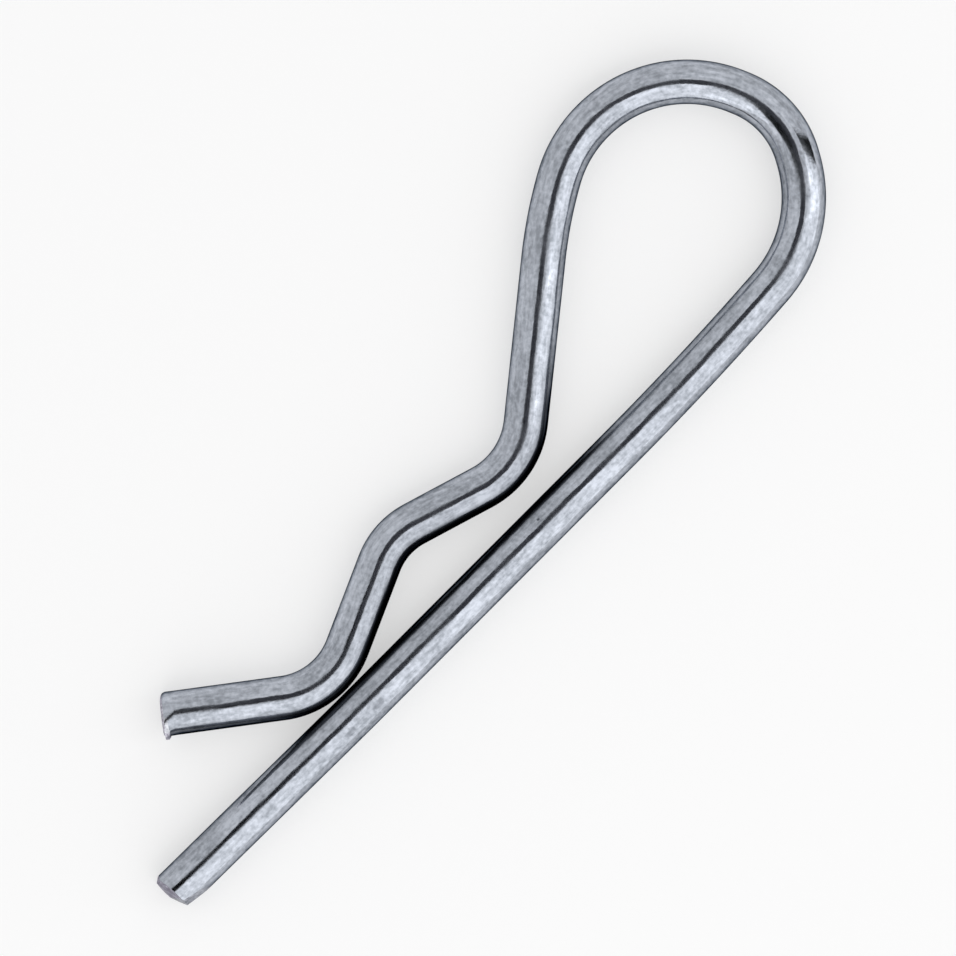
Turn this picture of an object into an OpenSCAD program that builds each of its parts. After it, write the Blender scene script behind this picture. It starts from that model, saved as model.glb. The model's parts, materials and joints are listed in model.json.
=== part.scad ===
// R-clip for a hitch pin: one length of round spring wire, bent in one plane.
//
// The straight leg goes through the cross hole of the hitch pin, and the
// sprung arm rides over the outside of the pin and grips it under its hump.
// The middle of the leg's free end is at the origin. The leg runs along +X,
// the arm lies on its +Y side, and the wire's centreline stays in the XY plane.
//
// The wire is formed as on a bending machine: it is fed straight, bent to a
// radius, fed again, and so on. Each row of BENDS is one feed and one bend.

/* [Wire] */
// Diameter of the spring wire
wire_d = 4.5; // [3.5:0.1:4.6]
// How much the wire's radius draws down round a bend
draw_down = 0.02; // [0.02:0.01:0.05]

/* [Straight leg] */
// Dead straight length at the free end, which stands clear of the heel
free_l = 22.5; // [18:0.5:22.5]
// Centreline radius of the slight set under the heel
set_r = 600; // [400:50:800]
// Turn of the slight set under the heel, in degrees
set_turn = 0.65; // [0.55:0.05:0.8]
// Straight length from the set to the sweep
leg_l = 34; // [30:0.5:38]
// Centreline radius of the long sweep that leads into the eye
sweep_r = 330; // [300:5:400]
// Turn of the long sweep, in degrees
sweep_turn = 3.8; // [3:0.1:4.5]

/* [Eye] */
// Centreline radius where the leg turns up into the eye
eye_in_r = 13.6; // [12.5:0.1:15]
// Turn where the leg turns up into the eye, in degrees
eye_in_turn = 57; // [52:1:60]
// Centreline radius round the nose, the tightest part of the eye
eye_nose_r = 9.5; // [8.5:0.1:11]
// Turn round the nose, in degrees
eye_nose_turn = 52; // [48:1:56]
// Centreline radius over the back of the eye
eye_back_r = 13.3; // [12:0.1:15]
// Turn over the back of the eye, in degrees
eye_back_turn = 97; // [94:1:101]

/* [Arm] */
// Centreline radius where the eye eases out into the shank
ease_r = 48; // [40:1:60]
// Turn where the eye eases out into the shank, in degrees
ease_turn = 9; // [8:0.1:11]
// Centreline radius of the throat, the arm's first crimp
throat_r = 8.4; // [7:0.1:9]
// Turn of the throat, in degrees
throat_turn = 55.7; // [53:0.1:58]
// Straight length from the throat to the hump
throat_l = 7.7; // [6.5:0.1:9]
// Centreline radius of the hump that seats on the hitch pin
hump_r = 7.5; // [6.5:0.1:8.5]
// Turn of the hump, in degrees
hump_turn = 40.9; // [39:0.1:43]
// Straight length from the hump to the heel
hump_l = 9; // [8:0.1:10]
// Centreline radius of the heel that rests beside the leg
heel_r = 8; // [7:0.1:8.5]
// Turn of the heel, in degrees
heel_turn = 61.3; // [58:0.1:64]
// Gap that the heel keeps from the leg, wire to wire
heel_gap = 0.08; // [0.06:0.01:0.5]
// Straight length of the lead-in tail
tail_l = 12.3; // [10:0.1:14]

/* [Sheared ends] */
// Slant of the shear face at the leg's free end, in degrees
shear_slant = 9; // [0:1:15]
// Length of the tail that the shear has rolled over
roll_l = 1.2; // [0.6:0.1:2]
// Depth to which the tail's end is rolled over
roll_depth = 0.28; // [0.1:0.02:0.5]
// Height of the burr that hangs from the tail's end
burr_h = 0.55; // [0.2:0.05:0.8]

/* [Hidden] */

ZINC = "#aeb3bd";
// Sides of the round wire, and the length of a facet along a bend
SIDES = 96;
FACET_L = 1.2;
// How far a straight runs into the bend beside it
LAP = 0.1;
wire_r = wire_d / 2;

// Columns of a row of BENDS. A turn to the left is positive.
FEED = 0;
RADIUS = 1;
TURN = 2;

// The wire fed between two bends that run into each other
MIN_FEED = 0.5;

// From the leg's free end round to the end of the shank, but for the shank's own feed
LEG_AND_EYE = [
    [free_l, set_r, set_turn],
    [leg_l, sweep_r, sweep_turn],
    [MIN_FEED, eye_in_r, eye_in_turn],
    [MIN_FEED, eye_nose_r, eye_nose_turn],
    [MIN_FEED, eye_back_r, eye_back_turn],
    [MIN_FEED, ease_r, ease_turn],
];

// The arm's three crimps, after a shank of a given length
function crimps(shank) = [
    [shank, throat_r, -throat_turn],
    [throat_l, hump_r, hump_turn],
    [hump_l, heel_r, -heel_turn],
];

// Where the wire stands after one row: [x, y, heading]
function after_row(at, row) =
    let (r = row[RADIUS] * sign(row[TURN]), out = at[2] + row[TURN])
    [
        at[0] + row[FEED] * cos(at[2]) + r * (sin(out) - sin(at[2])),
        at[1] + row[FEED] * sin(at[2]) - r * (cos(out) - cos(at[2])),
        out,
    ];

// Where the wire stands after all the rows
function after_rows(rows, at = [0, 0, 0], i = 0) =
    i == len(rows) ? at : after_rows(rows, after_row(at, rows[i]), i + 1);

function to_hundredth(x) = round(100 * x) / 100;

// The shank is as long as it must be to bring the heel down beside the leg.
// heel_end is taken with no shank, and the heel's lowest point is found back
// from it. Each millimetre of shank lowers it by the sine of the shank's heading.
HALF_TURN = 180;
shank_heading = after_rows(LEG_AND_EYE)[2];
heel_end = after_rows(concat(LEG_AND_EYE, crimps(0)));
heel_low = heel_end[1] - heel_r * (1 - cos(HALF_TURN - heel_end[2]));
shank_l = to_hundredth((heel_low - wire_d - heel_gap) / -sin(shank_heading));

BENDS = concat(LEG_AND_EYE, crimps(shank_l));

// How far the shear face of the free end leans past the origin
lean = wire_r * tan(shear_slant);
// Facets that round the free end: [x, y, angle] of a point on each and of its face
// from the end plane. The first is the corner beside the arm.
TIP_FACETS = [
    [0, 0.7 * wire_r, 45],
    [0.1, -0.3 * wire_r, -24],
    [0.6, -0.78 * wire_r, -79],
];
// A block larger than any cut needs
CUT = 4 * wire_d;

// The burr's foot and tip radii, and how far it stands back from the end
burr_foot_r = 0.75;
burr_tip_r = 0.3;
burr_back = 0.8;

// Straight wire along +X, between two places on the X axis
module straight(from, to) {
    translate([from, 0, 0]) rotate([0, 90, 0]) cylinder(h = to - from, d = wire_d, $fn = SIDES);
}

// A bend that starts at the origin along +X
module bend(radius, turn) {
    mirror([0, turn < 0 ? 1 : 0, 0])
        translate([0, radius, 0])
            rotate([0, 0, -90])
                rotate_extrude(angle = abs(turn), $fn = ceil(2 * PI * radius / FACET_L))
                    translate([radius, 0]) circle(r = wire_r - draw_down, $fn = SIDES);
}

// Carries its children to the end of a bend
module past_bend(radius, turn) {
    side = sign(turn);
    translate([0, side * radius, 0])
        rotate([0, 0, turn])
            translate([0, -side * radius, 0]) children();
}

// The wire from the bend of one row of BENDS to the far end. Each straight runs
// a little way into the bends at its ends, so that the lengths are one solid.
module wire_from(i) {
    radius = BENDS[i][RADIUS];
    turn = BENDS[i][TURN];
    bend(radius, turn);
    past_bend(radius, turn) {
        if (i == len(BENDS) - 1) tail();
        else {
            feed = BENDS[i + 1][FEED];
            straight(-LAP, feed + LAP);
            translate([feed, 0, 0]) wire_from(i + 1);
        }
    }
}

// The leg's free end: sheared at a slant, with its rim rolled over in facets
module free_end() {
    difference() {
        straight(-lean, free_l + LAP);
        rotate([0, shear_slant, 0]) end_cut();
        for (f = TIP_FACETS) translate([f[0], f[1], 0]) rotate([0, 0, -f[2]]) end_cut();
    }
}

// The half space behind the YZ plane, as far as a cut needs it
module end_cut() {
    translate([-CUT, -CUT / 2, -CUT / 2]) cube(CUT);
}

// The tail, rolled over where it was sheared off, with the burr on its inner side
module tail() {
    straight(-LAP, tail_l - roll_l);
    translate([tail_l - roll_l, 0, 0]) rotate([0, 90, 0])
        cylinder(h = roll_l, r1 = wire_r, r2 = wire_r - roll_depth, $fn = SIDES);
    translate([tail_l - burr_back, 0, 0]) rotate([-90, 0, 0])
        cylinder(h = wire_r + burr_h, r1 = burr_foot_r, r2 = burr_tip_r, $fn = SIDES / 2);
}

module r_clip() {
    color(ZINC) {
        free_end();
        translate([free_l, 0, 0]) wire_from(0);
    }
}

r_clip();
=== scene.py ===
"""An R-clip for a hitch pin: one length of zinc-plated spring wire, dressed for the camera.

The wire is formed here as it is on the bench. It is fed straight through a bending head, bent to
a radius, fed again and so on, and its two ends are then sheared. Sizes are in millimetres until
the finished piece is scaled to metres.
"""

import json
import logging
import math
from dataclasses import dataclass, field
from enum import Enum
from itertools import accumulate

import bmesh
import bpy
from mathutils import Matrix, Vector


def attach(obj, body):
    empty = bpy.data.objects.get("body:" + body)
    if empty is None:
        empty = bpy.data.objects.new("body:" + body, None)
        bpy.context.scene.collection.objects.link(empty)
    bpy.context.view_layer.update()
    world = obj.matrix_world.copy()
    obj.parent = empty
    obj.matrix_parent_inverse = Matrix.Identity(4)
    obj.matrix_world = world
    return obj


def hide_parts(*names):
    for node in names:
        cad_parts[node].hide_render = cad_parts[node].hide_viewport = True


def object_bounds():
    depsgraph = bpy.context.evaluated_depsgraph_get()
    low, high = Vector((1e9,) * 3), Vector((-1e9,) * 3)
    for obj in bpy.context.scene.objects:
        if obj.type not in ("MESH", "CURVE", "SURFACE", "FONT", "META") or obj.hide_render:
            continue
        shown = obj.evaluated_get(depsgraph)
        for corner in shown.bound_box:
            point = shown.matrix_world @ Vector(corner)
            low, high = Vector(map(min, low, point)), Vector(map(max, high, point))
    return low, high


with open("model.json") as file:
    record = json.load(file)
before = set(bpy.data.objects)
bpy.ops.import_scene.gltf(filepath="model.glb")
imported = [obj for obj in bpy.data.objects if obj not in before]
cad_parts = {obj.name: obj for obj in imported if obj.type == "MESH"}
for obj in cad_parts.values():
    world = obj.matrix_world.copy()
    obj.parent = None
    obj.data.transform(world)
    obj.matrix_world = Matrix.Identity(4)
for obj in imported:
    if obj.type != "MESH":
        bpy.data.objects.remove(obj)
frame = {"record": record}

MM = 0.001
# The wire's radius draws down by this much round its bends, and the whole wire is shown so
DRAW_DOWN = 0.02
CAD_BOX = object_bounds()
LOG = logging.getLogger("r_clip")
# The attribute that holds each point's place on the wire as it was drawn straight
DRAWN = "drawn"
# The colour sockets of a Mix node, which share their names with its other sockets
MIX_FROM, MIX_TO, MIX_OUT = 6, 7, 2
QUARTER_TURN = math.pi / 2
# A value in a shader: a plain number, or the socket that gives it
Value = bpy.types.NodeSocket | float


class Face(Enum):
    """The finishes on the wire, by the number of their material slot."""

    PLATE = 0
    BURNISHED = 1
    FRACTURE = 2


@dataclass(frozen=True)
class Bend:
    """One row of the bending program: a feed, and the bend after it. A left turn is positive."""

    feed: float
    radius: float
    turn: float

    @property
    def arc(self) -> float:
        """The wire that the bend takes up."""
        return self.radius * math.radians(abs(self.turn))


def linear(code: str) -> tuple[float, float, float, float]:
    """Turns an sRGB hex colour to a linear one.

    Args:
        code: Six hex digits.

    Returns:
        Red, green and blue in linear light, and an alpha of one.
    """
    toe, slope, offset, power = 0.04045, 12.92, 0.055, 2.4
    parts = [int(code[i:i + 2], 16) / 255 for i in (0, 2, 4)]
    red, green, blue = (
        part / slope if part <= toe else ((part + offset) / (1 + offset)) ** power
        for part in parts
    )
    return red, green, blue, 1.0


def add_node(
    tree: bpy.types.NodeTree,
    kind: str,
    links: dict[str | int, object] | None = None,
    **settings: object,
) -> bpy.types.Node:
    """Adds a shader node.

    Args:
        tree: The node tree that takes it.
        kind: The node's type, such as ShaderNodeMix.
        links: For each input, by name or number, the socket that feeds it or its value.
        settings: Properties to set on the node.

    Returns:
        The new node.
    """
    node = tree.nodes.new(kind)
    for name, value in settings.items():
        setattr(node, name, value)
    for name, value in (links or {}).items():
        if isinstance(value, bpy.types.NodeSocket):
            tree.links.new(value, node.inputs[name])
        else:
            node.inputs[name].default_value = value
    return node


def weigh(
    tree: bpy.types.NodeTree, parts: tuple[tuple[Value, Value], ...], total: Value = 0.0
) -> Value:
    """Adds up patterns, each times its share.

    Args:
        tree: The node tree that takes the nodes.
        parts: Each pattern with its share, which may be a pattern too.
        total: What they are added to.

    Returns:
        The sum.
    """
    for pattern, share in parts:
        part = {0: pattern, 1: share, 2: total}
        total = add_node(tree, "ShaderNodeMath", part, operation="MULTIPLY_ADD").outputs[0]
    return total


# ---------------------------------------------------------------- finishes


class TwoTone:
    """What the finishes share: two greys of one metal, mixed by a pattern."""

    dark: str
    pale: str

    def tint(
        self,
        tree: bpy.types.NodeTree,
        pattern: bpy.types.NodeSocket,
        low: float,
        high: float,
    ) -> bpy.types.NodeSocket:
        """Mixes the two greys.

        Args:
            tree: The node tree that takes the nodes.
            pattern: The pattern that says where each grey lies.
            low: The pattern's value where the metal is darkest.
            high: Its value where the metal is palest.

        Returns:
            The colour's socket.
        """
        spread = add_node(
            tree, "ShaderNodeMapRange", {"Value": pattern, "From Min": low, "From Max": high}
        )
        greys = {MIX_FROM: linear(self.dark), MIX_TO: linear(self.pale)}
        mix = {"Factor": spread.outputs[0], **greys}
        return add_node(tree, "ShaderNodeMix", mix, data_type="RGBA").outputs[MIX_OUT]


@dataclass(frozen=True)
class Mark:
    """A scuff on the plate: its place on the straight wire, its half sizes in mm, and its depth."""

    along: float
    side: float
    length: float
    width: float
    depth: float


@dataclass(frozen=True)
class PaintedShadeStretch:
    """A stretch of wire, in mm, with painted shade at its inner edge or over its inner half."""

    start: float
    end: float
    edge: float
    half: float


@dataclass(frozen=True)
class ZincPlate(TwoTone):
    """Bright zinc plated on drawn spring steel.

    The plate is so fine that the die's drawn lines show through it as fine streaks along the wire,
    and its own grain gives the metal a cool, lightly mottled grey that still mirrors the lamps.
    On the clip's inner side the colour carries painted shade: a dark tone that stands for the shade
    and the shadowed paper that its parts mirror in each other, most of all where the arm lies close
    to the leg. The patterns read the wire as it was drawn straight, so they follow it round its
    bends.
    """

    wire_r: float
    painted_shade_stretches: tuple[PaintedShadeStretch, ...]
    name: str = "zinc_plate_on_drawn_wire"
    # The plate's two greys, and its tint at a grazing look
    dark: str = "8F949C"
    pale: str = "C3C8D2"
    rim: str = "505458"
    # The painted shade on the inner side: its colour, the shares of the radius between which its
    # edge and its half fade in, how much of it there is all along the wire, and how far a stretch
    # of it fades
    painted_shade: str = "1C1E22"
    edge_fade: tuple[float, float] = (0.45, 0.9)
    half_fade: tuple[float, float] = (-0.05, 0.25)
    painted_shade_everywhere: float = 0.2
    fade_mm: float = 3.5
    # The scuffs' colour. One is whole up to its core and gone at its outskirts, in its own half
    # sizes. The grain adds to the way out, so that its edge is ragged.
    scuff: str = "3A3E46"
    core: float = 1.0
    outskirts: float = 2.0
    marks: tuple[Mark, ...] = (
        Mark(52.8, 0.8, 0.16, 0.13, 0.9),
        Mark(24.5, -1.0, 0.6, 0.4, 0.35),
        Mark(28.5, -1.0, 0.7, 0.4, 0.35),
        Mark(65.6, -1.3, 0.5, 0.3, 0.3),
    )
    # The sizes of the plate's crystals, of the die's streaks and of the clouds in its gloss. Real
    # crystals and streaks are finer than 0.1 mm, and are drawn as coarse as they need to show.
    grain_mm: float = 0.45
    streak_mm: float = 0.35
    streak_length_mm: float = 1.5
    cloud_mm: float = 2.6
    cloud_length_mm: float = 5.0
    detail: float = 2.0
    # Their shares in the mottle, and the range of the mottle that goes from dark to pale
    grain_share: float = 0.35
    streak_share: float = 0.35
    cloud_share: float = 0.3
    mottle: tuple[float, float] = (0.38, 0.62)
    # The range of the clouds that goes from roughest to smoothest
    gloss: tuple[float, float] = (0.35, 0.65)
    roughest: float = 0.2
    smoothest: float = 0.09
    grain_height_mm: float = 0.005
    streak_height_mm: float = 0.004
    cloud_height_mm: float = 0.06

    def make(self) -> bpy.types.Material:
        """Builds the material."""
        material = bpy.data.materials.new(self.name)
        material.use_nodes = True
        tree = material.node_tree
        shader = tree.nodes["Principled BSDF"]
        shader.inputs["Metallic"].default_value = 1.0
        shader.inputs["Specular Tint"].default_value = linear(self.rim)
        drawn = add_node(tree, "ShaderNodeAttribute", attribute_name=DRAWN).outputs["Vector"]
        grain = self.lumps(tree, drawn, self.grain_mm, self.grain_mm)
        streak = self.lumps(tree, drawn, self.streak_mm, self.streak_length_mm)
        cloud = self.lumps(tree, drawn, self.cloud_mm, self.cloud_length_mm)
        shares = (grain, self.grain_share), (streak, self.streak_share), (cloud, self.cloud_share)
        colour = self.tint(tree, weigh(tree, shares), *self.mottle)
        # The painted shade between the parts goes on first, then the scuffs
        shade_and_scuffs = [(self.painted_shade_share(tree, drawn), self.painted_shade)]
        shade_and_scuffs += [(self.scuffed(tree, drawn, grain, mark), self.scuff) for mark in self.marks]
        for share, tone in shade_and_scuffs:
            mix = {"Factor": share, MIX_FROM: colour, MIX_TO: linear(tone)}
            colour = add_node(tree, "ShaderNodeMix", mix, data_type="RGBA").outputs[MIX_OUT]
        tree.links.new(colour, shader.inputs["Base Color"])
        least, most = self.gloss
        roughness = add_node(
            tree,
            "ShaderNodeMapRange",
            {"Value": cloud, "From Min": least, "From Max": most,
             "To Min": self.roughest, "To Max": self.smoothest},
        )
        tree.links.new(roughness.outputs[0], shader.inputs["Roughness"])
        relief = add_node(
            tree, "ShaderNodeBump", {"Height": cloud, "Distance": self.cloud_height_mm * MM}
        )
        for pattern, height in ((grain, self.grain_height_mm), (streak, self.streak_height_mm)):
            part = {"Height": pattern, "Distance": height * MM, "Normal": relief.outputs[0]}
            relief = add_node(tree, "ShaderNodeBump", part)
        tree.links.new(relief.outputs[0], shader.inputs["Normal"])
        return material

    def lumps(
        self,
        tree: bpy.types.NodeTree,
        drawn: bpy.types.NodeSocket,
        across_mm: float,
        along_mm: float,
    ) -> bpy.types.NodeSocket:
        """A pattern of lumps, which may be drawn out along the wire.

        Args:
            tree: The node tree that takes the nodes.
            drawn: The place on the straight wire.
            across_mm: The size of a lump across the wire.
            along_mm: Its size along the wire.

        Returns:
            The pattern's socket, from 0 to 1.
        """
        scale = (1 / (along_mm * MM), 1 / (across_mm * MM), 1 / (across_mm * MM))
        place = add_node(tree, "ShaderNodeMapping", {"Vector": drawn, "Scale": scale})
        noise = {"Vector": place.outputs["Vector"], "Scale": 1.0, "Detail": self.detail}
        return add_node(tree, "ShaderNodeTexNoise", noise).outputs[0]

    @staticmethod
    def fade(
        tree: bpy.types.NodeTree, value: bpy.types.NodeSocket, none: float, full: float
    ) -> bpy.types.NodeSocket:
        """Fades something in.

        Args:
            tree: The node tree that takes the node.
            value: What it depends on.
            none: The value where there is none of it.
            full: The value where all of it is there.

        Returns:
            Its share, from 0 to 1.
        """
        limits = {"Value": value, "From Min": none, "From Max": full}
        return add_node(
            tree, "ShaderNodeMapRange", limits, interpolation_type="SMOOTHSTEP"
        ).outputs[0]

    def painted_shade_share(
        self, tree: bpy.types.NodeTree, drawn: bpy.types.NodeSocket
    ) -> bpy.types.NodeSocket:
        """How much painted shade lies on the clip's inner side, where its parts shade and mirror
        each other.

        Args:
            tree: The node tree that takes the nodes.
            drawn: The place on the straight wire.

        Returns:
            The share of the painted shade.
        """
        along, side, _ = add_node(tree, "ShaderNodeSeparateXYZ", {0: drawn}).outputs
        edge: Value = self.painted_shade_everywhere
        half: Value = 0.0
        reach = self.fade_mm * MM
        for stretch in self.painted_shade_stretches:
            start, end = stretch.start * MM, stretch.end * MM
            begun = self.fade(tree, along, start - reach, start + reach)
            to_go = self.fade(tree, along, end + reach, end - reach)
            both = weigh(tree, ((begun, to_go),))
            edge = weigh(tree, ((both, stretch.edge),), edge)
            half = weigh(tree, ((both, stretch.half),), half)
        radius = self.wire_r * MM
        at_edge = self.fade(tree, side, *(radius * share for share in self.edge_fade))
        on_half = self.fade(tree, side, *(radius * share for share in self.half_fade))
        return weigh(tree, ((edge, at_edge), (half, on_half)))

    def scuffed(
        self,
        tree: bpy.types.NodeTree,
        drawn: bpy.types.NodeSocket,
        grain: bpy.types.NodeSocket,
        mark: Mark,
    ) -> bpy.types.NodeSocket:
        """How much of a mark there is.

        Args:
            tree: The node tree that takes the nodes.
            drawn: The place on the straight wire.
            grain: The grain that breaks up the mark's edge.
            mark: The mark, on the wire's upper side.

        Returns:
            Its share, from 0 to its depth.
        """
        top = math.sqrt(self.wire_r ** 2 - mark.side ** 2)
        middle = (mark.along * MM, mark.side * MM, top * MM)
        moved = add_node(
            tree, "ShaderNodeVectorMath", {0: drawn, 1: middle}, operation="SUBTRACT"
        ).outputs[0]
        size = (mark.length * MM, mark.width * MM, mark.width * MM)
        sized = add_node(
            tree, "ShaderNodeVectorMath", {0: moved, 1: size}, operation="DIVIDE"
        ).outputs[0]
        away = add_node(
            tree, "ShaderNodeVectorMath", {0: sized}, operation="LENGTH"
        ).outputs["Value"]
        ragged = weigh(tree, ((grain, 1.0),), away)
        near = self.fade(tree, ragged, self.outskirts, self.core)
        return weigh(tree, ((near, mark.depth),))


@dataclass(frozen=True)
class ShearedSteel(TwoTone):
    """Spring steel where the shear parted it, under a flash of zinc.

    Where the blade wiped it smooth it is burnished and catches the light. Where it tore it is
    dull, grainy and faintly purple. The real grain is finer than 0.1 mm, and is drawn as coarse
    as it needs to show.
    """

    name: str
    dark: str
    pale: str
    grain_mm: float
    grain_height_mm: float
    roughness: float
    detail: float = 3.0
    mottle: tuple[float, float] = (0.4, 0.6)

    def make(self) -> bpy.types.Material:
        """Builds the material."""
        material = bpy.data.materials.new(self.name)
        material.use_nodes = True
        tree = material.node_tree
        shader = tree.nodes["Principled BSDF"]
        shader.inputs["Metallic"].default_value = 1.0
        shader.inputs["Roughness"].default_value = self.roughness
        place = add_node(tree, "ShaderNodeTexCoord").outputs["Object"]
        scale = 1 / (self.grain_mm * MM)
        noise = {"Vector": place, "Scale": scale, "Detail": self.detail}
        grain = add_node(tree, "ShaderNodeTexNoise", noise).outputs[0]
        colour = self.tint(tree, grain, *self.mottle)
        tree.links.new(colour, shader.inputs["Base Color"])
        tree.links.new(colour, shader.inputs["Specular Tint"])
        relief = add_node(
            tree, "ShaderNodeBump", {"Height": grain, "Distance": self.grain_height_mm * MM}
        )
        tree.links.new(relief.outputs[0], shader.inputs["Normal"])
        return material


BURNISHED_STEEL = ShearedSteel(
    "sheared_steel_burnished", dark="A0A2A8", pale="CACCD2",
    grain_mm=0.5, grain_height_mm=0.02, roughness=0.22,
)
FRACTURED_STEEL = ShearedSteel(
    "sheared_steel_fracture", dark="96949E", pale="C6C4CE",
    grain_mm=0.35, grain_height_mm=0.03, roughness=0.38,
)


@dataclass(frozen=True)
class MattFinish:
    """Paper or felt, which has no gloss at all."""

    name: str
    tone: str

    def make(self) -> bpy.types.Material:
        """Builds the material."""
        material = bpy.data.materials.new(self.name)
        material.use_nodes = True
        shader = material.node_tree.nodes["Principled BSDF"]
        shader.inputs["Base Color"].default_value = linear(self.tone)
        shader.inputs["Roughness"].default_value = 1.0
        shader.inputs["Specular IOR Level"].default_value = 0.0
        return material


@dataclass(frozen=True)
class LitPaper(MattFinish):
    """Matt white paper on a light table: part of its white shines through it.

    The light table keeps the clip's soft shadow pale. It is seen straight on and mirrored in the
    wire, and it adds no light to the room.
    """

    share: float

    def make(self) -> bpy.types.Material:
        """Builds the material."""
        material = super().make()
        tree = material.node_tree
        path = add_node(tree, "ShaderNodeLightPath").outputs
        rays = ("Is Camera Ray", "Is Glossy Ray", "Is Transmission Ray")
        seen = weigh(tree, tuple((path[ray], self.share) for ray in rays))
        table = add_node(tree, "ShaderNodeEmission", {"Strength": 1.0}).outputs[0]
        paper = tree.nodes["Principled BSDF"].outputs[0]
        both = add_node(tree, "ShaderNodeMixShader", {0: seen, 1: paper, 2: table})
        tree.links.new(both.outputs[0], tree.nodes["Material Output"].inputs["Surface"])
        return material


# White background paper, which shows the clip's soft shadow
WHITE_PAPER = LitPaper("matt_white_paper", "F2F2F2", share=0.5)
# Grey felt round the lens and black felt over its stand, which the wire mirrors as dark lines
GREY_FELT = MattFinish("grey_felt", "4C4C50")
BLACK_FELT = MattFinish("black_felt", "0A0A0B")


# ---------------------------------------------------------------- the wire


class BendingHead:
    """Feeds and bends one open tube of wire, a ring at a time.

    The tube grows from its last ring. Each point also keeps its place on the wire as it was drawn
    straight, so that marks made by the die follow the wire round its bends.
    """

    def __init__(self, radius: float, sides: int, start: float) -> None:
        """Starts the tube with one ring.

        Args:
            radius: The wire's radius.
            sides: How many sides the ring has.
            start: Where on the X axis the ring stands.
        """
        self.mesh = bmesh.new()
        self.drawn = self.mesh.verts.layers.float_vector.new(DRAWN)
        stand = Matrix.Translation((start, 0, 0)) @ Matrix.Rotation(QUARTER_TURN, 4, "Y")
        made = bmesh.ops.create_circle(self.mesh, segments=sides, radius=radius, matrix=stand)
        self.ring: list[bmesh.types.BMVert] = made["verts"]
        self.edges: list[bmesh.types.BMEdge] = list(self.mesh.edges)
        for vert in self.ring:
            vert[self.drawn] = vert.co
        self.at = Vector((start, 0, 0))
        self.heading = 0.0
        self.length = start

    @property
    def ahead(self) -> Vector:
        """The way in which the wire runs on."""
        return Vector((math.cos(self.heading), math.sin(self.heading), 0))

    @property
    def left(self) -> Vector:
        """The side to which a positive turn bends."""
        return Vector((-math.sin(self.heading), math.cos(self.heading), 0))

    def take(self, grown: list[bmesh.types.BMVert | bmesh.types.BMEdge], step: float) -> None:
        """Makes new geometry the tube's last ring.

        Args:
            grown: What the operator returned.
            step: How much wire it added.
        """
        self.ring = [part for part in grown if isinstance(part, bmesh.types.BMVert)]
        fresh = set(self.ring)
        self.edges = [
            part for part in grown
            if isinstance(part, bmesh.types.BMEdge) and fresh.issuperset(part.verts)
        ]
        self.length += step
        for vert in self.ring:
            _, side, up = vert[self.drawn]
            vert[self.drawn] = (self.length, side, up)

    def feed(self, length: float, pitch: float) -> None:
        """Feeds straight wire.

        Args:
            length: How much wire.
            pitch: The most that one ring may stand from the next.
        """
        steps = max(1, math.ceil(length / pitch))
        for _ in range(steps):
            grown = bmesh.ops.extrude_edge_only(self.mesh, edges=self.edges)["geom"]
            self.take(grown, length / steps)
            bmesh.ops.translate(self.mesh, verts=self.ring, vec=self.ahead * (length / steps))
        self.at += self.ahead * length

    def bend(self, radius: float, turn: float, pitch: float) -> None:
        """Bends the wire round a former.

        Args:
            radius: The radius of the wire's centreline.
            turn: The angle in degrees, positive to the left.
            pitch: The most that one ring may stand from the next.
        """
        angle = math.radians(turn)
        length = radius * abs(angle)
        steps = max(2, math.ceil(length / pitch))
        centre = self.at + self.left * math.copysign(radius, turn)
        for _ in range(steps):
            grown = bmesh.ops.spin(
                self.mesh, geom=self.ring + self.edges, cent=centre, axis=(0, 0, 1),
                angle=angle / steps, steps=1, use_merge=False, use_duplicate=False,
            )["geom_last"]
            self.take(grown, length / steps)
        self.at = centre + Matrix.Rotation(angle, 3, "Z") @ (self.at - centre)
        self.heading += angle

    def section(self, size: float, width: float, pivot: float, lean: float) -> Matrix:
        """A change to the wire's section, about its centreline.

        Args:
            size: The share of its size that is left.
            width: The share of its width that is left.
            pivot: How far to the left of the centreline the side lies that stays in place.
            lean: The slope at which its top leans over to the left. It is no taller for it.

        Returns:
            The change as a matrix.
        """
        height = 1 / math.hypot(1, lean)
        skew = Matrix(((1, 0, 0, 0), (0, 1, 0, 0), (0, height * lean, height, 0), (0, 0, 0, 1)))
        squeeze = Matrix.Translation((0, pivot, 0)) @ Matrix.Diagonal((1, width, 1, 1))
        turn = Matrix.Rotation(self.heading, 4, "Z")
        shrink = Matrix.Diagonal((size, size, size, 1))
        change = shrink @ squeeze @ Matrix.Translation((0, -pivot, 0)) @ skew
        return turn @ change @ turn.inverted()

    def reshape(self, old: Matrix, new: Matrix) -> None:
        """Takes the last ring from one change of its section to another."""
        bmesh.ops.transform(
            self.mesh, matrix=new @ old.inverted(), verts=self.ring,
            space=Matrix.Translation(-self.at),
        )


@dataclass(frozen=True)
class Shear:
    """One plane of the leg's end: a point on it, how it is turned from square, and its finish.

    The point's x is in mm, and its side is a share of the wire's radius. The turn is about +Z
    and the slant leans the plane over, both in degrees.
    """

    x: float
    side: float
    turn: float
    slant: float
    face: Face

    def outward(self) -> Vector:
        """The plane's direction, away from the wire."""
        lean = Matrix.Rotation(math.radians(self.slant), 3, "Y")
        swing = Matrix.Rotation(math.radians(-self.turn), 3, "Z")
        return swing @ lean @ Vector((-1, 0, 0))


@dataclass(frozen=True)
class Patch:
    """A patch on the tail's end that the blade marked.

    It lies from start to reach back from the end, in mm, from a share of the wire's radius
    towards the leg on, and above a height in mm.
    """

    start: float
    reach: float
    side: float = -1.0
    low: float = -math.inf


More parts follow.
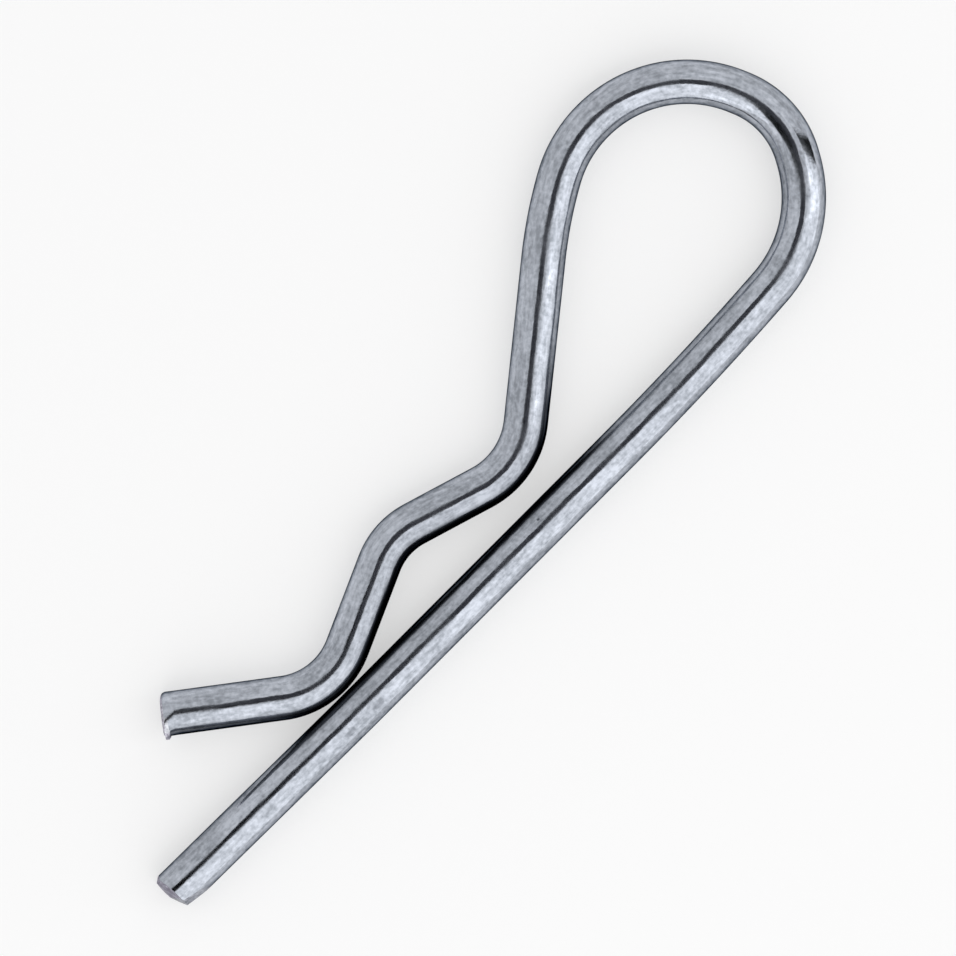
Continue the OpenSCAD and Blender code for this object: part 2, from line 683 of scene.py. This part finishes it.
@dataclass
class ClipWire:
    """The whole clip: a straight leg, a teardrop eye and a crimped arm, bent from one wire."""

    wire_r: float
    free_l: float
    heel_gap: float = 0.08
    tail_l: float = 12.3
    # The bends after the free length, and the arm's crimps, whose first feed is worked out
    leg_and_eye: tuple[Bend, ...] = (
        Bend(0, 600, 0.65),
        Bend(34, 330, 3.8),
        Bend(0.5, 13.6, 57),
        Bend(0.5, 9.5, 52),
        Bend(0.5, 13.3, 97),
        Bend(0.5, 48, 9),
    )
    crimps: tuple[Bend, ...] = (Bend(0, 8.4, -55.7), Bend(7.7, 7.5, 40.9), Bend(9, 8, -61.3))
    # The sides of the round wire, and how far apart its rings stand on straights and in bends
    sides: int = 112
    straight_pitch: float = 1.0
    bend_pitch: float = 0.4
    # The leg's end: the spare wire that is cut off, the length that has no rings and whose cut
    # edges are rounded, the radius of that rounding, and the cuts with the length they work on
    spare_end: float = 1.0
    tip_l: float = 3.0
    tip_lip: float = 0.1
    cut_l: float = 5.0
    tip_cuts: tuple[Shear, ...] = (
        Shear(0.4, 0, -3, 11.5, Face.FRACTURE),
        Shear(0, 0.67, 45, 8, Face.FRACTURE),
        Shear(0.46, -0.32, -18, 8, Face.BURNISHED),
        Shear(0.6, -0.74, -79, 13, Face.BURNISHED),
    )
    # The tail's end: the length that the blade drags, the slope at which it leaves its top and
    # its number of rings, the rounding of its far corner, and the rounding of its rim
    drag_l: float = 1.35
    drag_lean: float = 0.4
    drag_steps: int = 26
    corner_l: float = 0.7
    corner_width: float = 0.84
    rim_r: float = 0.3
    # Where the blade tore the tail and where it wiped it smooth
    torn: Patch = Patch(0, 0.26)
    wiped: Patch = Patch(0.26, 0.55, side=0.15, low=0.0)
    # The burr: its foot, how far each of its two steps rises and is dragged on, and the share
    # of its size that each step keeps
    burr_foot: Patch = Patch(0.12, 0.75, side=0.72, low=-0.4)
    burr_rise: float = 0.2
    burr_drag: float = 0.04
    burr_steps: tuple[tuple[float, Face], ...] = ((0.85, Face.BURNISHED), (0.7, Face.FRACTURE))
    # Where painted shade darkens the plate between the parts: from this share of the free length,
    # of the shank, and up to this share of the heel's bend
    painted_shade_leg_from: float = 0.85
    painted_shade_arm_from: float = 0.7
    painted_shade_heel_to: float = 0.25
    # Points closer than this are one, and edges sharper than this stay sharp
    weld_mm: float = 0.0005
    sharp_deg: float = 35
    head: BendingHead = field(init=False)

    def build(self) -> bpy.types.Object:
        """Forms the wire and shears its ends.

        Returns:
            The clip as one object, in metres.
        """
        self.head = BendingHead(self.wire_r, self.sides, -self.spare_end)
        self.head.feed(self.spare_end + self.tip_l, self.spare_end + self.tip_l)
        self.head.feed(self.free_l - self.tip_l, self.straight_pitch)
        for row in self.program():
            if row.feed > 0:
                self.head.feed(row.feed, self.straight_pitch)
            self.head.bend(row.radius, row.turn, self.bend_pitch)
        self.head.feed(self.tail_l - self.drag_l, self.straight_pitch)
        self.drag_tail()
        self.raise_burr()
        self.shear_tip()
        return self.finish("r_clip_wire")

    def program(self) -> list[Bend]:
        """The bends from the leg's free end on, with the shank as long as the heel needs.

        Returns:
            The rows after the leg's free length.
        """
        heading = sum(row.turn for row in self.leg_and_eye)
        low, out = self.after([*self.leg_and_eye, *self.crimps])
        low -= self.crimps[-1].radius * (1 - math.cos(math.pi - out))
        drop = low - 2 * (self.wire_r + DRAW_DOWN) - self.heel_gap
        # Each millimetre of shank lowers the heel by the sine of its heading
        shank = round(drop / -math.sin(math.radians(heading)), ndigits=2)
        first, *others = self.crimps
        return [*self.leg_and_eye, Bend(shank, first.radius, first.turn), *others]

    @staticmethod
    def after(rows: list[Bend]) -> tuple[float, float]:
        """Where the wire stands after some rows.

        Args:
            rows: The feeds and bends, from the origin along +X.

        Returns:
            Its y and its heading in radians.
        """
        y = heading = 0.0
        for row in rows:
            out = heading + math.radians(row.turn)
            y += row.feed * math.sin(heading)
            y -= math.copysign(row.radius, row.turn) * (math.cos(out) - math.cos(heading))
            heading = out
        return y, heading

    def drag_tail(self) -> None:
        """Shears the tail off: the blade drags its top towards the leg and rounds its far side."""
        old = Matrix.Identity(4)
        before = 0.0
        for step in range(1, self.drag_steps + 1):
            done = math.sin(QUARTER_TURN * step / self.drag_steps)
            self.head.feed((done - before) * self.drag_l, self.drag_l)
            left = (1 - done) * self.drag_l
            size = 1 - self.rounding(left, self.rim_r) * self.rim_r / self.wire_r
            width = 1 - self.rounding(left, self.corner_l) * (1 - self.corner_width)
            new = self.head.section(size, width, self.wire_r, self.drag_lean * done)
            self.head.reshape(old, new)
            old, before = new, done
        head, mesh = self.head, self.head.mesh
        end, *_ = bmesh.ops.edgeloop_fill(mesh, edges=head.edges)["faces"]
        end.material_index = Face.FRACTURE.value
        halves = bmesh.ops.bisect_plane(
            mesh, geom=[end, *end.edges, *end.verts], plane_co=head.at, plane_no=(0, 0, 1)
        )["geom"]
        for part in halves:
            if isinstance(part, bmesh.types.BMFace) and part.calc_center_median().z > 0:
                part.material_index = Face.BURNISHED.value
        for face in mesh.faces:
            if self.on(self.torn, face):
                face.material_index = Face.FRACTURE.value

    @staticmethod
    def rounding(left: float, length: float) -> float:
        """How far a quarter round has fallen, from 0 where it starts to 1 at the end.

        Args:
            left: How much wire is left to the end.
            length: How much wire the quarter round takes.
        """
        return 1 - math.sqrt(1 - max(0.0, 1 - left / length) ** 2)

    def raise_burr(self) -> None:
        """Raises the burr that the blade wiped out on the leg's side of the tail's end."""
        head, mesh = self.head, self.head.mesh
        for face in mesh.faces:
            if self.on(self.wiped, face):
                face.material_index = Face.BURNISHED.value
        patch = [face for face in mesh.faces if self.on(self.burr_foot, face)]
        shift = Matrix.Translation(head.left * self.burr_rise + head.ahead * self.burr_drag)
        for share, look in self.burr_steps:
            for face in patch:
                face.material_index = look.value
            raised = bmesh.ops.extrude_face_region(mesh, geom=patch)["geom"]
            bmesh.ops.delete(mesh, geom=patch, context="FACES")
            patch = [part for part in raised if isinstance(part, bmesh.types.BMFace)]
            verts = [part for part in raised if isinstance(part, bmesh.types.BMVert)]
            middle = sum((vert.co for vert in verts), Vector()) / len(verts)
            bmesh.ops.transform(
                mesh, matrix=shift @ Matrix.Scale(share, 4), verts=verts,
                space=Matrix.Translation(-middle),
            )

    def on(self, patch: Patch, face: bmesh.types.BMFace) -> bool:
        """Whether a face lies on a patch of the tail's end.

        Args:
            patch: The patch.
            face: The face.

        Returns:
            True if it does.
        """
        place = face.calc_center_median() - self.head.at
        back = -place.dot(self.head.ahead)
        near = place.length < 2 * self.wire_r and patch.start < back < patch.reach
        side = place.dot(self.head.left) / self.wire_r
        return near and side > patch.side and place.z > patch.low

    def shear_tip(self) -> None:
        """Cuts the leg's free end off at a slant, and facets its rim."""
        mesh = self.head.mesh
        for cut in self.tip_cuts:
            near = [vert for vert in mesh.verts if vert.co.x < self.cut_l]
            hold = set(near)
            edges = [edge for edge in mesh.edges if hold.issuperset(edge.verts)]
            faces = [face for face in mesh.faces if hold.issuperset(face.verts)]
            made = bmesh.ops.bisect_plane(
                mesh, geom=near + edges + faces, plane_co=(cut.x, cut.side * self.wire_r, 0),
                plane_no=cut.outward(), clear_outer=True,
            )["geom_cut"]
            rim = [part for part in made if isinstance(part, bmesh.types.BMEdge)]
            for face in bmesh.ops.edgeloop_fill(mesh, edges=rim)["faces"]:
                face.material_index = cut.face.value
        rims = [
            edge for edge in mesh.edges
            if edge.verts[0].co.x < self.tip_l
            and len({face.material_index for face in edge.link_faces}) > 1
        ]
        bmesh.ops.bevel(
            mesh, geom=rims, offset=self.tip_lip, affect="EDGES", segments=3, profile=0.5,
            material=-1, clamp_overlap=True,
        )

    def finish(self, name: str) -> bpy.types.Object:
        """Turns the formed wire into an object in metres.

        Args:
            name: The object's name.

        Returns:
            The object.
        """
        mesh = self.head.mesh
        bmesh.ops.remove_doubles(mesh, verts=mesh.verts, dist=self.weld_mm)
        bmesh.ops.recalc_face_normals(mesh, faces=mesh.faces)
        bmesh.ops.scale(mesh, verts=mesh.verts, vec=(MM, MM, MM))
        for vert in mesh.verts:
            vert[self.head.drawn] = vert[self.head.drawn] * MM
        data = bpy.data.meshes.new(name)
        mesh.to_mesh(data)
        mesh.free()
        piece = bpy.data.objects.new(name, data)
        bpy.context.scene.collection.objects.link(piece)
        data.shade_smooth()
        data.set_sharp_from_angle(angle=math.radians(self.sharp_deg))
        return piece

    def dress(self, piece: bpy.types.Object) -> None:
        """Gives the wire its finishes, in the order of Face.

        Args:
            piece: The clip.
        """
        rows = self.program()
        starts = list(accumulate((row.feed + row.arc for row in rows), initial=self.free_l))
        sweep = starts[1] + rows[1].feed
        crimp = len(self.leg_and_eye)
        shank, throat = starts[crimp], starts[crimp] + rows[crimp].feed
        heel = starts[-2] + rows[-1].feed + self.painted_shade_heel_to * rows[-1].arc
        arm = shank + self.painted_shade_arm_from * (throat - shank)
        # Where painted shade darkens the plate: the leg and the arm where they face each other, and
        # the heel's inner half
        painted_shade_stretches = (
            PaintedShadeStretch(self.painted_shade_leg_from * self.free_l, sweep, edge=0.58, half=0.08),
            PaintedShadeStretch(arm, self.head.length, edge=0.58, half=0.02),
            PaintedShadeStretch(throat, heel, edge=0, half=0.18),
        )
        plate = ZincPlate(self.wire_r, painted_shade_stretches)
        for finish in (plate, BURNISHED_STEEL, FRACTURED_STEEL):
            piece.data.materials.append(finish.make())


# ---------------------------------------------------------------- the studio


@dataclass(frozen=True)
class SoftBox:
    """A flat soft light that faces the clip.

    Its bearing and its angle from overhead are in degrees, its distance and size in metres, and
    its radiance is how bright it looks, where 1 is white.
    """

    name: str
    bearing: float
    from_zenith: float
    width: float
    height: float
    radiance: float
    distance: float = 0.9

    def hang(self, target: Vector, turn: float) -> None:
        """Hangs the light.

        Args:
            target: The point that it faces.
            turn: What is added to a bearing to give its angle about +Z, in degrees.
        """
        lamp = bpy.data.lights.new(self.name, "AREA")
        lamp.shape = "RECTANGLE"
        lamp.size = self.width
        lamp.size_y = self.height
        lamp.energy = self.radiance * math.pi * self.width * self.height
        box = bpy.data.objects.new(self.name, lamp)
        box.matrix_world = (
            Matrix.Translation(target)
            @ Matrix.Rotation(math.radians(self.bearing + turn), 4, "Z")
            @ Matrix.Rotation(math.radians(self.from_zenith), 4, "Y")
            @ Matrix.Translation((0, 0, self.distance))
            @ Matrix.Rotation(QUARTER_TURN, 4, "Z")
        )
        box.visible_camera = False
        bpy.context.scene.collection.objects.link(box)
        LOG.info("light %s hung", self.name)


@dataclass(frozen=True)
class FeltPlate:
    """A flat oval plate that the wire mirrors.

    Its bearing and its angle from overhead are in degrees. Its reach is its half length along
    the bearing and its side its half length across it, in metres.
    """

    name: str
    bearing: float
    from_zenith: float
    reach: float
    side: float
    finish: MattFinish


@dataclass
class Studio:
    """Pale paper, soft lights all round, and a camera that looks straight down.

    Sizes are in metres. Bearings are as the camera sees them: degrees from the right of its
    view upwards.
    """

    low: Vector
    high: Vector
    # The width of the view, how high the camera stands, and where it aims from the clip's middle
    view: float = 0.0956
    camera_height: float = 1.0
    sensor_mm: float = 36.0
    aim: tuple[float, float] = (0.0015, -0.0046)
    # The bearing at which the leg runs up the view
    leg_rise: float = 44.43
    paper: float = 6.0
    # How bright the white room looks, and the lights, which stand mostly on the leg's side
    room: float = 0.85
    lights: tuple[SoftBox, ...] = (
        SoftBox("key_beside_leg", -57, 51, 3.2, 1.48, 0.6),
        SoftBox("strip_past_eye", 7, 62, 0.26, 0.92, 0.6),
        SoftBox("kicker_past_tail", 240, 51, 0.1, 0.2, 0.35),
        SoftBox("kicker_past_tip", 258, 65, 0.16, 0.24, 0.5),
        SoftBox("bounce_over_eye", 55, 48, 0.9, 0.7, 0.15),
        SoftBox("bounce_past_arm", 205, 52, 0.4, 0.4, 0.2),
    )
    # What the camera hangs from: the plates, how high they hang and how many sides they have
    plates: tuple[FeltPlate, ...] = (
        FeltPlate("lens_hood", 115, 2.5, 0.115, 0.115, GREY_FELT),
        FeltPlate("camera_arm", 211, 22.4, 0.155, 0.11, BLACK_FELT),
    )
    plate_height: float = 0.5
    plate_sides: int = 64
    # The stand: its bearing, how far off it stands, its lean in degrees, and its size
    stand_bearing: float = 20.8
    stand_off: float = 0.6
    stand_lean: float = 4.5
    stand_size: tuple[float, float, float] = (0.02, 0.12, 0.8)

    @property
    def centre(self) -> Vector:
        """The middle of the clip."""
        return (self.low + self.high) / 2

    def facing(self, bearing: float) -> Matrix:
        """Moves something to the clip's middle and turns it to a bearing."""
        turn = Matrix.Rotation(math.radians(bearing - self.leg_rise), 4, "Z")
        return Matrix.Translation(self.centre) @ turn

    def build(self) -> None:
        """Builds the paper, the lights, the camera's dark stand and the camera."""
        self.lay_paper()
        self.hang_lights()
        for plate in self.plates:
            self.hang_plate(plate)
        self.put_up_stand()
        self.place_camera()

    def lay_paper(self) -> None:
        """Lays the paper under the clip."""
        mesh = bmesh.new()
        bmesh.ops.create_grid(
            mesh, x_segments=1, y_segments=1, size=self.paper / 2,
            matrix=Matrix.Translation((self.centre.x, self.centre.y, self.low.z)),
        )
        self.keep(mesh, "paper", WHITE_PAPER.make())

    def hang_lights(self) -> None:
        """Hangs the lights in the even light of a white room."""
        for light in self.lights:
            light.hang(self.centre, -self.leg_rise)
        world = bpy.data.worlds.new("room")
        world.use_nodes = True
        back = world.node_tree.nodes["Background"]
        back.inputs["Color"].default_value = (self.room, self.room, self.room, 1)
        bpy.context.scene.world = world

    def put_up_stand(self) -> None:
        """Puts up the camera's stand, which the wire mirrors as its dark line."""
        mesh = bmesh.new()
        bmesh.ops.create_cube(
            mesh, size=1.0,
            matrix=self.facing(self.stand_bearing)
            @ Matrix.Translation((self.stand_off, 0, 0))
            @ Matrix.Rotation(math.radians(-self.stand_lean), 4, "X")
            @ Matrix.Translation((0, 0, self.stand_size[-1] / 2))
            @ Matrix.Diagonal((*self.stand_size, 1)),
        )
        self.keep(mesh, "camera_stand", BLACK_FELT.make()).visible_camera = False

    def hang_plate(self, plate: FeltPlate) -> None:
        """Hangs a plate over the clip.

        Args:
            plate: The plate.
        """
        mesh = bmesh.new()
        off = self.plate_height * math.tan(math.radians(plate.from_zenith))
        bmesh.ops.create_circle(
            mesh, cap_ends=True, segments=self.plate_sides, radius=1.0,
            matrix=self.facing(plate.bearing)
            @ Matrix.Translation((off, 0, self.plate_height))
            @ Matrix.Diagonal((plate.reach, plate.side, 1, 1)),
        )
        self.keep(mesh, plate.name, plate.finish.make()).visible_camera = False

    def place_camera(self) -> None:
        """Places the camera over the clip, turned so that the leg runs up to the right."""
        lens = bpy.data.cameras.new("camera")
        lens.sensor_width = self.sensor_mm
        lens.lens = self.sensor_mm * self.camera_height / self.view
        camera = bpy.data.objects.new("camera", lens)
        x, y = self.aim
        above = Vector((self.centre.x + x, self.centre.y + y, self.camera_height))
        roll = Matrix.Rotation(math.radians(-self.leg_rise), 4, "Z")
        camera.matrix_world = Matrix.Translation(above) @ roll
        bpy.context.scene.collection.objects.link(camera)
        bpy.context.scene.camera = camera

    @staticmethod
    def keep(mesh: bmesh.types.BMesh, name: str, finish: bpy.types.Material) -> bpy.types.Object:
        """Turns a mesh into a stage object.

        Args:
            mesh: The mesh, which is freed.
            name: The object's name.
            finish: Its material.

        Returns:
            The object.
        """
        data = bpy.data.meshes.new(name)
        mesh.to_mesh(data)
        mesh.free()
        data.materials.append(finish)
        made = bpy.data.objects.new(name, data)
        bpy.context.scene.collection.objects.link(made)
        return made


def main() -> None:
    """Builds the clip and the studio round it."""
    logging.basicConfig(level=logging.INFO, format="%(name)s: %(message)s")
    bpy.context.scene.view_settings.view_transform = "Standard"
    leg_end = next(mount for mount in frame["record"]["mounts"] if mount["name"] == "leg_end")
    clip = ClipWire(
        wire_r=leg_end["dims"]["r_mm"] - DRAW_DOWN, free_l=leg_end["dims"]["length_mm"]
    )
    piece = clip.build()
    clip.dress(piece)
    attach(piece, "root")
    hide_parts("r_clip")
    LOG.info("%s has %d faces", piece.name, len(piece.data.polygons))
    Studio(*CAD_BOX).build()


if __name__ == "__main__":
    main()
